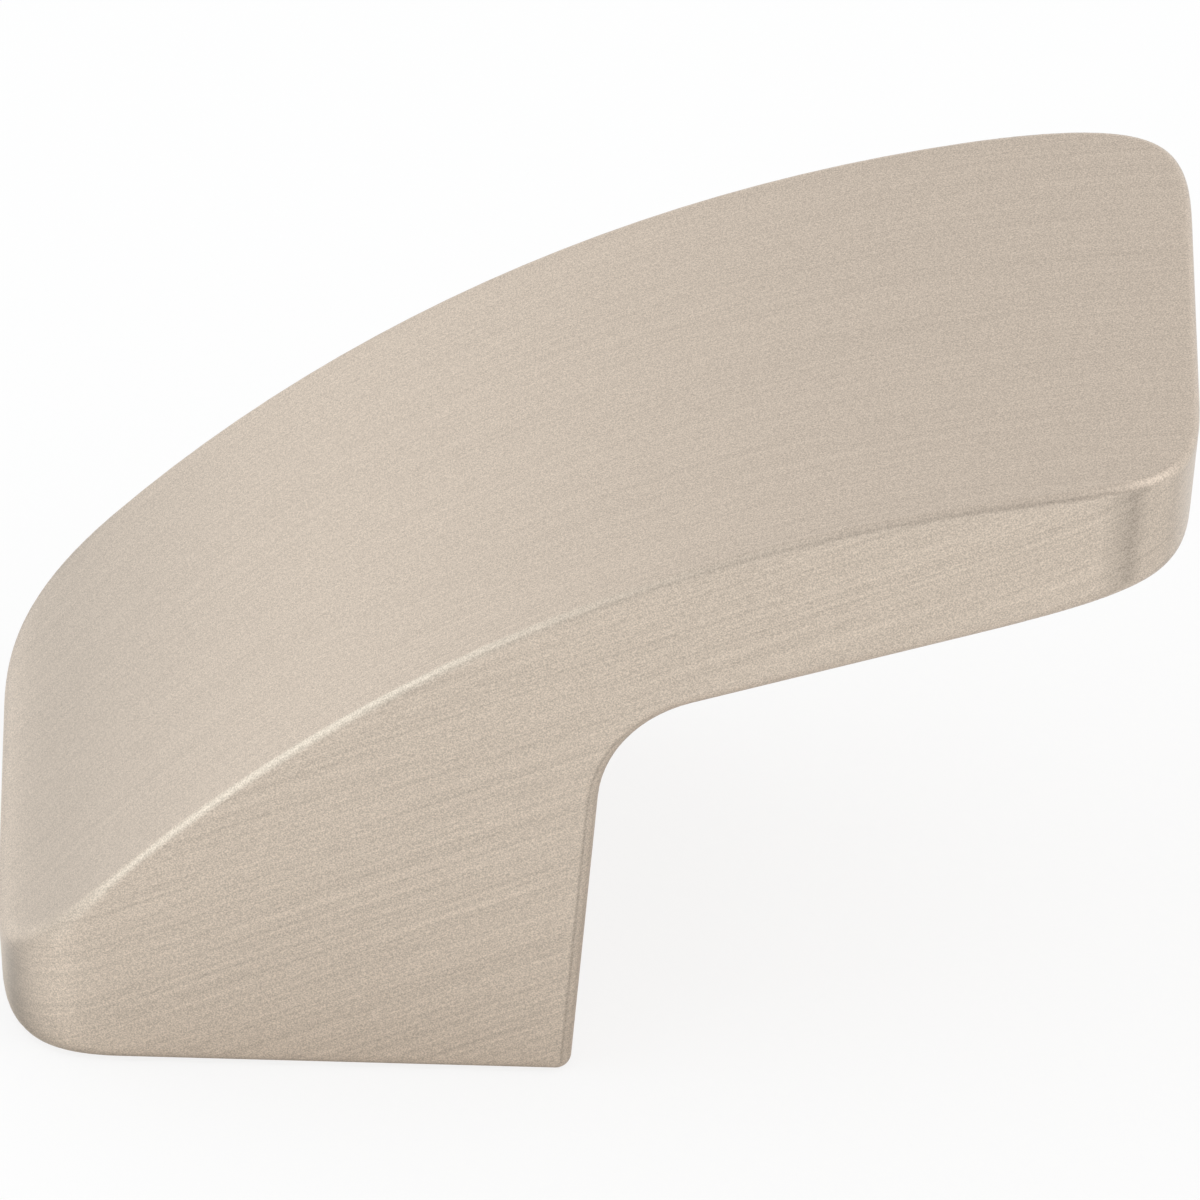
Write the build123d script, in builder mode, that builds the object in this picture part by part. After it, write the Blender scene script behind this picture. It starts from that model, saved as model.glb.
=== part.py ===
"""Cabinet knob of the finger-pull kind: a wide foot that rises along one arc into an overhanging grip.

One solid die casting. The origin is the screw's centre on the cabinet face, +Z stands out from the
cabinet, +X runs towards the fingertip end and Y is the width.
"""

import os
from math import asin, degrees, radians, tan

from build123d import *

# Foot and walls, in millimetres and degrees
foot_length = 18.35
width = 21.6
heel_height = 2.8
heel_flare = 4.5
tip_flare = 2.7
throat_flare = 2.9

# Grip, measured from the screw's axis and from the cabinet face
reach = 28.5
projection = 23.25
tip_thickness = 3.7
underside_slope = 18.3
hollow_radius = 4.2
crown_radius = 51.5

# Eased corners of the plan: how far each one runs along the side and across the end
heel_corner_along = 3.9
heel_corner_across = 5.3
heel_corner_fullness = 0.74
tip_corner_along = 7.0
tip_corner_across = 5.6
tip_corner_fullness = 0.87

# Edges
crown_edge_radius = 0.3
lip_edge_radius = 0.5
foot_edge_radius = 0.5

# Blind tapped hole for an M4 screw
thread_diameter = 4.0
thread_depth = 8.0
countersink_diameter = 4.8
drill_point_angle = 118.0

# How far a cutting shape runs past the metal that it cuts
overshoot = 1.0

# How far each wall leans outwards for each millimetre that it stands above the cabinet face
heel_lean = tan(radians(heel_flare))
tip_lean = tan(radians(tip_flare))
throat_lean = tan(radians(throat_flare))

# Ends of the crown: the top edge of the low end, and that of the fingertip end
heel = Vector(-foot_length / 2 - heel_height * heel_lean, heel_height)
tip = Vector(reach, projection)

# The crown's centre lies below the middle of the chord between them, a radius from both
chord = tip - heel
drop = (crown_radius**2 - (chord.length / 2) ** 2) ** 0.5
crown_centre = (heel + tip) / 2 + Vector(chord.Y, -chord.X) / chord.length * drop

# Finger gap: the throat rises from the foot, the underside falls back from the tip's lower edge
tip_lower = tip - Vector(tip_thickness * tip_lean, tip_thickness)
throat_foot = Vector(foot_length / 2, 0)
rise = tan(radians(underside_slope))
throat_height = (tip_lower.Y - rise * (tip_lower.X - throat_foot.X)) / (1 - rise * throat_lean)
throat = throat_foot + Vector(throat_height * throat_lean, throat_height)


def end_of_plan(end_x, along, across, fullness):
    """The plan at the cabinet face with one end's eased corners, left open a long way past the other."""
    inward = -1 if end_x > 0 else 1
    beyond_x = inward * 2 * reach
    on_side = Vector(end_x + inward * along, width / 2)
    on_end = Vector(end_x, width / 2 - across)
    sharp = Vector(end_x, width / 2)
    with BuildSketch() as plan:
        with BuildLine():
            Line((end_x, 0), on_end)
            Bezier(on_end, on_end + (sharp - on_end) * fullness, on_side + (sharp - on_side) * fullness, on_side)
            Polyline(on_side, (beyond_x, width / 2), (beyond_x, 0))
            mirror(about=Plane.XZ)
        make_face()
    return plan.sketch


with BuildPart() as knob:
    # Each end's wall leans outwards by its flare, so that the casting leaves its die
    tall = 2 * projection
    heel_plan = end_of_plan(-foot_length / 2, heel_corner_along, heel_corner_across, heel_corner_fullness)
    tip_plan = end_of_plan(
        reach - projection * tip_lean, tip_corner_along, tip_corner_across, tip_corner_fullness
    )
    extrude(heel_plan, amount=tall, dir=(-heel_lean, 0, 1))
    extrude(tip_plan, amount=tall, dir=(tip_lean, 0, 1), mode=Mode.INTERSECT)

    # The side form has the flat foot, the throat, the rounded hollow, the underside and the crown
    right = reach + overshoot
    left = heel.X - overshoot
    right_angle = degrees(asin((right - crown_centre.X) / crown_radius))
    left_angle = degrees(asin((left - crown_centre.X) / crown_radius))
    with BuildSketch(Plane.XZ) as side_form:
        with BuildLine():
            crown = CenterArc(crown_centre, crown_radius, 90 - right_angle, right_angle - left_angle)
            Polyline(
                crown @ 1,
                (left, 0),
                throat_foot,
                throat,
                (right, tip_lower.Y + rise * (right - tip_lower.X)),
                crown @ 0,
            )
        make_face()
        fillet(side_form.vertices().sort_by_distance(throat)[0], hollow_radius)
    extrude(amount=width, both=True, mode=Mode.INTERSECT)

    # The crown's edge is the crisp one of the casting, where the two halves of the die met
    crown_face = knob.faces().filter_by(GeomType.CYLINDER).sort_by(SortBy.AREA)[-1]
    fillet(crown_face.edges(), crown_edge_radius)

    # The lip of the finger gap, from the throat's two edges on through the hollow and round the tip
    facing_tip = knob.faces().filter_by(GeomType.PLANE).filter_by(lambda face: face.normal_at().X > 0.9)
    throat_face = facing_tip.sort_by(Axis.Z)[0]
    fillet(throat_face.edges().filter_by(Axis.Y, reverse=True), lip_edge_radius)

    # The foot's own edge, all round the face that meets the cabinet
    foot_face = knob.faces().sort_by(Axis.Z)[0]
    fillet(foot_face.edges(), foot_edge_radius)

    # The tapped hole ends in the cone of its drill, and its mouth is countersunk
    thread_radius = thread_diameter / 2
    mouth_radius = countersink_diameter / 2
    with BuildSketch(Plane.XZ) as hole_section:
        with BuildLine():
            Polyline(
                (0, 0),
                (mouth_radius, 0),
                (thread_radius, mouth_radius - thread_radius),
                (thread_radius, thread_depth),
                (0, thread_depth + thread_radius / tan(radians(drill_point_angle / 2))),
                close=True,
            )
        make_face()
    revolve(axis=Axis.Z, mode=Mode.SUBTRACT)

knob.part.label = "knob"
os.makedirs("parts", exist_ok=True)
export_step(knob.part, "parts/knob.step")
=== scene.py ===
from math import cos, pi, radians, sin

import bmesh
import bpy
from mathutils import Matrix, Vector


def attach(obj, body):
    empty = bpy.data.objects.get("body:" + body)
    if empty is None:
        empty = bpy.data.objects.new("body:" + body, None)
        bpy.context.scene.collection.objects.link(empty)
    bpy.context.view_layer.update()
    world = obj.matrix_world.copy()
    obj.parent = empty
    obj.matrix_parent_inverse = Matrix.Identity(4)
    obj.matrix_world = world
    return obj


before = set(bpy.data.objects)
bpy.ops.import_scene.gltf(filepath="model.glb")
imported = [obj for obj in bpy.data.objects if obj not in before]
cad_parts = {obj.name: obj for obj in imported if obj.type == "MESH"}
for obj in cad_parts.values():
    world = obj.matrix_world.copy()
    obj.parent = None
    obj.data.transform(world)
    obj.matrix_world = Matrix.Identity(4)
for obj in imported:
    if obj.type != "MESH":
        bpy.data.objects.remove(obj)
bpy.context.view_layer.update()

MM = 0.001

# The view: where the camera looks from, and how the 1200 x 1200 frame holds the knob
FRAME_PX = 1200
ELEVATION = 34.0
AZIMUTH = -1.48
ROLL = 2.39
PX_PER_MM = 30.95
DISTANCE_MM = 798.0
TARGET_MM = Vector((9.5, 0.0, 11.0))
TARGET_RIGHT_OF_CENTRE_PX = -8.9
TARGET_BELOW_CENTRE_PX = 3.6
SENSOR_MM = 36.0

# The lamps stand this far from the knob, in metres. Those at its heel end are a little cooler.
LAMP_DISTANCE = 0.6
COOL = "E8FAFF"

# The white surroundings fade upwards between two heights, in degrees
WORLD_LOW = 1.04
WORLD_HIGH = 0.83
WORLD_LOW_TO = 15.0
WORLD_HIGH_FROM = 35.0

# The room behind the camera is darker than the rest of the white. Both angles are taken from the level
# line towards it, in degrees: within the first it is darkest, and past the second as white as the rest.
WORLD_FRONT = 0.7
FRONT_WITHIN = 25.0
FRONT_FADES_AT = 65.0

# The floor lies just clear of the foot's face, and lets through what goes no further than this
FLOOR_HALF_WIDTH = 2.0
FLOOR_BELOW_MM = 0.02
CLEAR_WITHIN_MM = 0.06

# How much of the floor is plain white to the camera, which leaves the rest of the shadow on it
FLOOR_WHITENED = 0.8

# The belt's lines: the slope of those on the sides in degrees, the size of the coarsest, how many times
# the noise is halved for finer ones, and how strong each halving stays. Real lines go down to a few
# thousandths of a millimetre across, so these are the coarse ones, as wide as the photo shows them.
BELT_SLOPE = 23.5
LINE_LENGTH_MM = 14.0
LINE_WIDTH_MM = 0.14
LINE_HALVINGS = 2.0
LINE_VARIETY = 0.85

# The crown's own lines take over from the sides' between these upward parts of the facing
TOP_LINES_FROM = 0.3
TOP_LINES_FULL = 0.55

# The grain, as coarse as the photo shows it, turned so that no flat face cuts it along its grid
GRAIN_MM = 0.048
GRAIN_TURN = (0.6, 0.5, 0.4)

# The noise keeps mostly between these two
NOISE_LOW = 0.25
NOISE_HIGH = 0.75

# How far the lines and the grain go above and below the metal's mean brightness, and how high they stand
SIDE_LINE_TONE = 0.105
TOP_LINE_TONE = 0.06
GRAIN_TONE = 0.2
LINE_DEPTH_MM = 0.004

# Painted light on the walls: how bright they are beside the plain metal, by the part of the wall's
# facing that lies along the knob, from -1 at the heel to 1 at the fingertip. The dark bands at the
# plan's corners are painted shade, the knob's shadow on the floor as the corners would reflect it, and
# the brighter stops are painted reflections.
WALL_PAINTED_LIGHT = [
    (-0.99, 1.04),
    (-0.95, 0.7),
    (-0.90, 0.66),
    (-0.73, 0.95),
    (-0.55, 1.02),
    (-0.30, 1.11),
    (-0.18, 1.02),
    (0.18, 1.02),
    (0.34, 0.74),
    (0.48, 0.95),
    (0.65, 0.97),
    (0.80, 0.90),
    (0.95, 1.0),
]

# The same painted light for the crown: painted shade a little before the heel, and a painted reflection
# at its very end
CROWN_PAINTED_LIGHT = [
    (-0.81, 1.16),
    (-0.795, 1.04),
    (-0.78, 0.90),
    (-0.76, 0.88),
    (-0.73, 0.92),
    (-0.66, 0.98),
    (-0.60, 1.0),
]

# The walls' painted light ends, and the crown's is full, where this much of the facing is upward
WALLS_TO = 0.7

# The ridge between crown and side melts away round the heel, over this run of the knob's length
SOFT_FROM_MM = -4.4
SOFT_FULL_MM = -8.4
SOFT_RADIUS_MM = 1.1
SOFT_SAMPLES = 4

# Satin nickel: its colour and how far it spreads a reflection
NICKEL = "CFC1B2"
ROUGHNESS = 0.36

# The M4 thread of the screw hole, from the end of the countersink to the bottom of the bore. Half the
# width of a ridge at its root and at its crest are parts of the pitch, as in the metric profile.
HOLE_RADIUS_MM = 2.0
THREAD_PITCH_MM = 0.7
THREAD_HEIGHT_MM = 0.38
THREAD_FROM_MM = 0.45
THREAD_TO_MM = 7.95
THREAD_ROOTED_MM = 0.04
HALF_ROOT_OF_PITCH = 7 / 16
HALF_CREST_OF_PITCH = 1 / 8
THREAD_STEPS_A_TURN = 40


def linear(hex_colour):
    """A colour written as sRGB hex, such as CBC0B0, as linear red, green, blue and alpha."""
    channels = []
    for start in (0, 2, 4):
        value = int(hex_colour[start : start + 2], 16) / 255
        channels.append(value / 12.92 if value <= 0.04045 else ((value + 0.055) / 1.055) ** 2.4)
    return (*channels, 1.0)


def add_node(tree, kind, inputs=None, **settings):
    """Adds one node with its settings, and sets each input to a value or links it to an output."""
    node = tree.nodes.new(kind)
    for name, value in settings.items():
        setattr(node, name, value)
    for name, value in (inputs or {}).items():
        if isinstance(value, bpy.types.NodeSocket):
            tree.links.new(value, node.inputs[name])
        else:
            node.inputs[name].default_value = value
    return node


def new_material(name):
    """An empty node material and its tree, with only the output node in it."""
    material = bpy.data.materials.new(name)
    material.use_nodes = True
    tree = material.node_tree
    tree.nodes.clear()
    return material, tree, add_node(tree, "ShaderNodeOutputMaterial")


def noise_tone(tree, vector, scale, detail, tone):
    """Noise as a tone that goes evenly above and below zero."""
    noise = add_node(
        tree,
        "ShaderNodeTexNoise",
        {"Vector": vector, "Scale": scale, "Detail": detail, "Roughness": LINE_VARIETY},
    )
    evened = add_node(
        tree,
        "ShaderNodeMapRange",
        {
            "Value": noise.outputs["Fac"],
            "From Min": NOISE_LOW,
            "From Max": NOISE_HIGH,
            "To Min": -tone,
            "To Max": tone,
        },
    )
    return evened.outputs["Result"]


def belt_lines(tree, position, across_axis, slope, tone):
    """The belt's lines: noise whose cells are long along them and thin across them."""
    cell = [LINE_LENGTH_MM * MM] * 3
    cell[across_axis] = LINE_WIDTH_MM * MM
    in_cells = add_node(
        tree,
        "ShaderNodeMapping",
        {"Vector": position, "Rotation": (0, -radians(slope), 0), "Scale": cell},
        vector_type="TEXTURE",
    )
    return noise_tone(tree, in_cells.outputs["Vector"], 1.0, LINE_HALVINGS, tone)


def belt_pattern(tree, position, upness):
    """The lines of the sides and of the crown, each on its own faces, and the grain over both."""
    on_top = add_node(
        tree,
        "ShaderNodeMapRange",
        {"Value": upness, "From Min": TOP_LINES_FROM, "From Max": TOP_LINES_FULL},
        interpolation_type="SMOOTHSTEP",
    )
    lines = add_node(
        tree,
        "ShaderNodeMix",
        {
            "Factor": on_top.outputs["Result"],
            "A": belt_lines(tree, position, 2, BELT_SLOPE, SIDE_LINE_TONE),
            "B": belt_lines(tree, position, 1, 0, TOP_LINE_TONE),
        },
        data_type="FLOAT",
    )
    turned = add_node(tree, "ShaderNodeMapping", {"Vector": position, "Rotation": GRAIN_TURN})
    grain = noise_tone(tree, turned.outputs["Vector"], 1 / (GRAIN_MM * MM), 0.0, GRAIN_TONE)
    pattern = add_node(tree, "ShaderNodeMath", {0: lines.outputs["Result"], 1: grain}, operation="ADD")
    return pattern.outputs["Value"]


def soft_edges(tree, position):
    """The surface's normal in the world, with the edges at the heel rounded further than they are."""
    place = add_node(tree, "ShaderNodeSeparateXYZ", {"Vector": position})
    radius = add_node(
        tree,
        "ShaderNodeMapRange",
        {
            "Value": place.outputs["X"],
            "From Min": SOFT_FROM_MM * MM,
            "From Max": SOFT_FULL_MM * MM,
            "To Max": SOFT_RADIUS_MM * MM,
        },
        interpolation_type="SMOOTHSTEP",
    )
    rounded = add_node(
        tree, "ShaderNodeBevel", {"Radius": radius.outputs["Result"]}, samples=SOFT_SAMPLES
    )
    return rounded.outputs["Normal"]


def tone_by_facing(tree, facing_along, tones):
    """A tone of painted light and shade that follows how far a surface faces along the knob, from -1 to
    1.
    """
    along = add_node(
        tree, "ShaderNodeMapRange", {"Value": facing_along, "From Min": -1.0, "From Max": 1.0}
    )
    ramp = add_node(tree, "ShaderNodeValToRGB", {"Fac": along.outputs["Result"]})
    stops = ramp.color_ramp.elements
    while len(stops) < len(tones):
        stops.new(0.5)
    for stop, (facing, tone) in zip(stops, tones):
        stop.position = (facing + 1) / 2
        stop.color = (tone, tone, tone, 1.0)
    return ramp.outputs["Color"]


def painted_light_by_facing(tree, normal, facing_along, upness):
    """Painted light and shade on each wall and the crown: how bright they are beside the plain metal, by
    the way they face.
    """
    level_part = add_node(
        tree, "ShaderNodeVectorMath", {0: normal, 1: (1.0, 1.0, 0.0)}, operation="MULTIPLY"
    )
    level = add_node(
        tree, "ShaderNodeVectorMath", {0: level_part.outputs["Vector"]}, operation="NORMALIZE"
    )
    wall = add_node(tree, "ShaderNodeSeparateXYZ", {"Vector": level.outputs["Vector"]})
    off_walls = add_node(
        tree,
        "ShaderNodeMapRange",
        {"Value": upness, "From Max": WALLS_TO},
        interpolation_type="SMOOTHSTEP",
    )
    painted_light = add_node(
        tree,
        "ShaderNodeMix",
        {
            "Factor": off_walls.outputs["Result"],
            "A": tone_by_facing(tree, wall.outputs["X"], WALL_PAINTED_LIGHT),
            "B": tone_by_facing(tree, facing_along, CROWN_PAINTED_LIGHT),
        },
        data_type="FLOAT",
    )
    return painted_light.outputs["Result"]


def satin_nickel():
    """Satin nickel plate on a zinc die casting, drawn lengthwise over an abrasive belt.

    The belt leaves a fine grain with short parallel lines in it, stronger on the sides than on the
    crown, and spreads each reflection, so the metal looks soft and warm grey. The darker bands on the
    corners are painted shade, and the walls and crown carry painted reflections by the way they face.
    The belt wears the ridge at the heel soft.
    """
    material, tree, output = new_material("satin_nickel_brushed")
    position = add_node(tree, "ShaderNodeTexCoord").outputs["Object"]
    soft_normal = soft_edges(tree, position)
    normal = add_node(
        tree,
        "ShaderNodeVectorTransform",
        {"Vector": soft_normal},
        vector_type="NORMAL",
        convert_from="WORLD",
        convert_to="OBJECT",
    ).outputs["Vector"]
    facing = add_node(tree, "ShaderNodeSeparateXYZ", {"Vector": normal})
    upness = add_node(tree, "ShaderNodeMath", {0: facing.outputs["Z"]}, operation="ABSOLUTE")
    pattern = belt_pattern(tree, position, upness.outputs["Value"])
    # Painted reflections and painted shade, by the way each wall and the crown face
    painted_light = painted_light_by_facing(tree, normal, facing.outputs["X"], upness.outputs["Value"])
    around_one = add_node(tree, "ShaderNodeMath", {0: pattern, 1: 1.0}, operation="ADD")
    brightness = add_node(
        tree, "ShaderNodeMath", {0: around_one.outputs["Value"], 1: painted_light}, operation="MULTIPLY"
    )
    colour = add_node(
        tree,
        "ShaderNodeVectorMath",
        {"Vector": linear(NICKEL)[:3], "Scale": brightness.outputs["Value"]},
        operation="SCALE",
    )
    bump = add_node(
        tree,
        "ShaderNodeBump",
        {
            "Height": pattern,
            "Strength": 1.0,
            "Distance": LINE_DEPTH_MM * MM,
            "Normal": soft_normal,
        },
    )
    shader = add_node(
        tree,
        "ShaderNodeBsdfPrincipled",
        {
            "Base Color": colour.outputs["Vector"],
            "Metallic": 1.0,
            "Roughness": ROUGHNESS,
            "Normal": bump.outputs["Normal"],
        },
    )
    tree.links.new(shader.outputs["BSDF"], output.inputs["Surface"])
    return material


def new_piece(name, bm, material):
    """Turns a finished bmesh into a piece of the knob, in the material's slot."""
    mesh = bpy.data.meshes.new(name)
    bm.to_mesh(mesh)
    bm.free()
    mesh.materials.append(material)
    piece = bpy.data.objects.new(name, mesh)
    bpy.context.scene.collection.objects.link(piece)
    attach(piece, "root")


def screw_thread(material):
    """The ridges of the tapped hole: one section swept along a helix, standing inwards from its wall."""
    wall = HOLE_RADIUS_MM + THREAD_ROOTED_MM
    crest = HOLE_RADIUS_MM - THREAD_HEIGHT_MM
    half_root = THREAD_PITCH_MM * HALF_ROOT_OF_PITCH
    half_crest = THREAD_PITCH_MM * HALF_CREST_OF_PITCH
    first = THREAD_FROM_MM + half_root
    turns = (THREAD_TO_MM - half_root - first) / THREAD_PITCH_MM
    steps = round(turns * THREAD_STEPS_A_TURN)
    bm = bmesh.new()
    section = [(wall, -half_root), (crest, -half_crest), (crest, half_crest), (wall, half_root)]
    corners = [bm.verts.new(Vector((radius, 0, first + rise)) * MM) for radius, rise in section]
    edges = [bm.edges.new(pair) for pair in zip(corners, corners[1:])]
    bmesh.ops.spin(
        bm,
        geom=corners + edges,
        cent=(0, 0, 0),
        axis=(0, 0, 1),
        dvec=(0, 0, THREAD_PITCH_MM * MM * turns / steps),
        angle=2 * pi * turns,
        steps=steps,
        use_merge=False,
    )
    bmesh.ops.recalc_face_normals(bm, faces=bm.faces)
    new_piece("screw_thread", bm, material)


def place_camera():
    """A long lens at the photograph's angle, moved sideways so that the knob sits as it does there."""
    turn = Matrix.Rotation(radians(AZIMUTH), 4, "Z")
    tilt = Matrix.Rotation(radians(90 - ELEVATION), 4, "X")
    roll = Matrix.Rotation(radians(ROLL), 4, "Z")
    aim = turn @ tilt @ roll
    offset = Vector((-TARGET_RIGHT_OF_CENTRE_PX, TARGET_BELOW_CENTRE_PX, 0)) / PX_PER_MM
    place = TARGET_MM + aim @ (offset + Vector((0, 0, DISTANCE_MM)))
    camera = bpy.data.objects.new("camera", bpy.data.cameras.new("camera"))
    camera.data.sensor_width = SENSOR_MM
    camera.data.lens = SENSOR_MM * PX_PER_MM * DISTANCE_MM / FRAME_PX
    camera.matrix_world = Matrix.Translation(place * MM) @ aim
    bpy.context.scene.collection.objects.link(camera)
    bpy.context.scene.camera = camera


def softbox(name, azimuth, elevation, width, height, strength, colour="FFFFFF"):
    """A soft box that faces the knob. Azimuth 0 is behind it and 90 at its fingertip end."""
    data = bpy.data.lights.new(name, "AREA")
    data.shape = "RECTANGLE"
    data.size = width
    data.size_y = height
    data.color = linear(colour)[:3]
    # An area lamp of this power has the given radiance
    data.energy = strength * pi * width * height
    lamp = bpy.data.objects.new(name, data)
    round_about = Matrix.Rotation(radians(180 - azimuth), 4, "Z")
    upwards = Matrix.Rotation(radians(90 - elevation), 4, "X")
    lamp.matrix_world = round_about @ upwards @ Matrix.Translation((0, 0, LAMP_DISTANCE))
    lamp.visible_camera = False
    bpy.context.scene.collection.objects.link(lamp)


def floor_paper():
    """White paper that keeps part of the shadow, and is clear from below and right under the foot."""
    material, tree, output = new_material("studio_floor_paper")
    paper = add_node(tree, "ShaderNodeBsdfDiffuse", {"Color": linear("FCFCFC")})
    white = add_node(tree, "ShaderNodeEmission", {"Color": linear("FFFFFF"), "Strength": 1.0})
    rays = add_node(tree, "ShaderNodeLightPath")
    white_share = add_node(
        tree,
        "ShaderNodeMath",
        {0: rays.outputs["Is Camera Ray"], 1: FLOOR_WHITENED},
        operation="MULTIPLY",
    )
    from_above = add_node(
        tree,
        "ShaderNodeMixShader",
        {"Fac": white_share.outputs["Value"], 1: paper.outputs["BSDF"], 2: white.outputs["Emission"]},
    )
    sides = add_node(tree, "ShaderNodeNewGeometry")
    under_foot = add_node(
        tree,
        "ShaderNodeMath",
        {0: rays.outputs["Ray Length"], 1: CLEAR_WITHIN_MM * MM},
        operation="LESS_THAN",
    )
    clear_share = add_node(
        tree,
        "ShaderNodeMath",
        {0: sides.outputs["Backfacing"], 1: under_foot.outputs["Value"]},
        operation="MAXIMUM",
    )
    clear = add_node(tree, "ShaderNodeBsdfTransparent")
    one_sided = add_node(
        tree,
        "ShaderNodeMixShader",
        {"Fac": clear_share.outputs["Value"], 1: from_above.outputs["Shader"], 2: clear.outputs["BSDF"]},
    )
    tree.links.new(one_sided.outputs["Shader"], output.inputs["Surface"])
    return material


def floor():
    """A wide white floor, just under the knob's foot."""
    mesh = bpy.data.meshes.new("floor")
    bm = bmesh.new()
    bmesh.ops.create_grid(bm, x_segments=1, y_segments=1, size=FLOOR_HALF_WIDTH)
    bm.to_mesh(mesh)
    bm.free()
    mesh.materials.append(floor_paper())
    plane = bpy.data.objects.new("floor", mesh)
    plane.location.z = -FLOOR_BELOW_MM * MM
    bpy.context.scene.collection.objects.link(plane)


def surroundings():
    """White surroundings, brightest low down, where the floor sweeps up, and darker at the camera."""
    world = bpy.data.worlds.new("studio")
    world.use_nodes = True
    tree = world.node_tree
    tree.nodes.clear()
    direction = add_node(tree, "ShaderNodeTexCoord").outputs["Generated"]
    towards = add_node(tree, "ShaderNodeSeparateXYZ", {"Vector": direction})
    by_height = add_node(
        tree,
        "ShaderNodeMapRange",
        {
            "Value": towards.outputs["Z"],
            "From Min": sin(radians(WORLD_LOW_TO)),
            "From Max": sin(radians(WORLD_HIGH_FROM)),
            "To Min": WORLD_LOW,
            "To Max": WORLD_HIGH,
        },
        interpolation_type="SMOOTHSTEP",
    )
    by_side = add_node(
        tree,
        "ShaderNodeMapRange",
        {
            "Value": towards.outputs["Y"],
            "From Min": -cos(radians(FRONT_WITHIN)),
            "From Max": -cos(radians(FRONT_FADES_AT)),
            "To Min": WORLD_FRONT,
            "To Max": 1.0,
        },
        interpolation_type="SMOOTHSTEP",
    )
    strength = add_node(
        tree,
        "ShaderNodeMath",
        {0: by_height.outputs["Result"], 1: by_side.outputs["Result"]},
        operation="MULTIPLY",
    )
    background = add_node(
        tree, "ShaderNodeBackground", {"Color": linear("FFFFFF"), "Strength": strength.outputs["Value"]}
    )
    add_node(tree, "ShaderNodeOutputWorld", {"Surface": background.outputs["Background"]})
    bpy.context.scene.world = world


place_camera()
floor()
surroundings()
softbox("left", azimuth=-90, elevation=35, width=0.92, height=0.24, strength=0.82, colour=COOL)
softbox("left_low", azimuth=-120, elevation=10, width=0.92, height=0.24, strength=0.55, colour=COOL)
softbox("right_front", azimuth=120, elevation=35, width=0.5, height=0.5, strength=0.34)
softbox("right_high", azimuth=90, elevation=60, width=0.5, height=0.5, strength=0.34)

nickel = satin_nickel()
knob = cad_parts["knob"]
for slot in knob.material_slots:
    slot.material = nickel
screw_thread(nickel)

bpy.context.scene.view_settings.view_transform = "Standard"
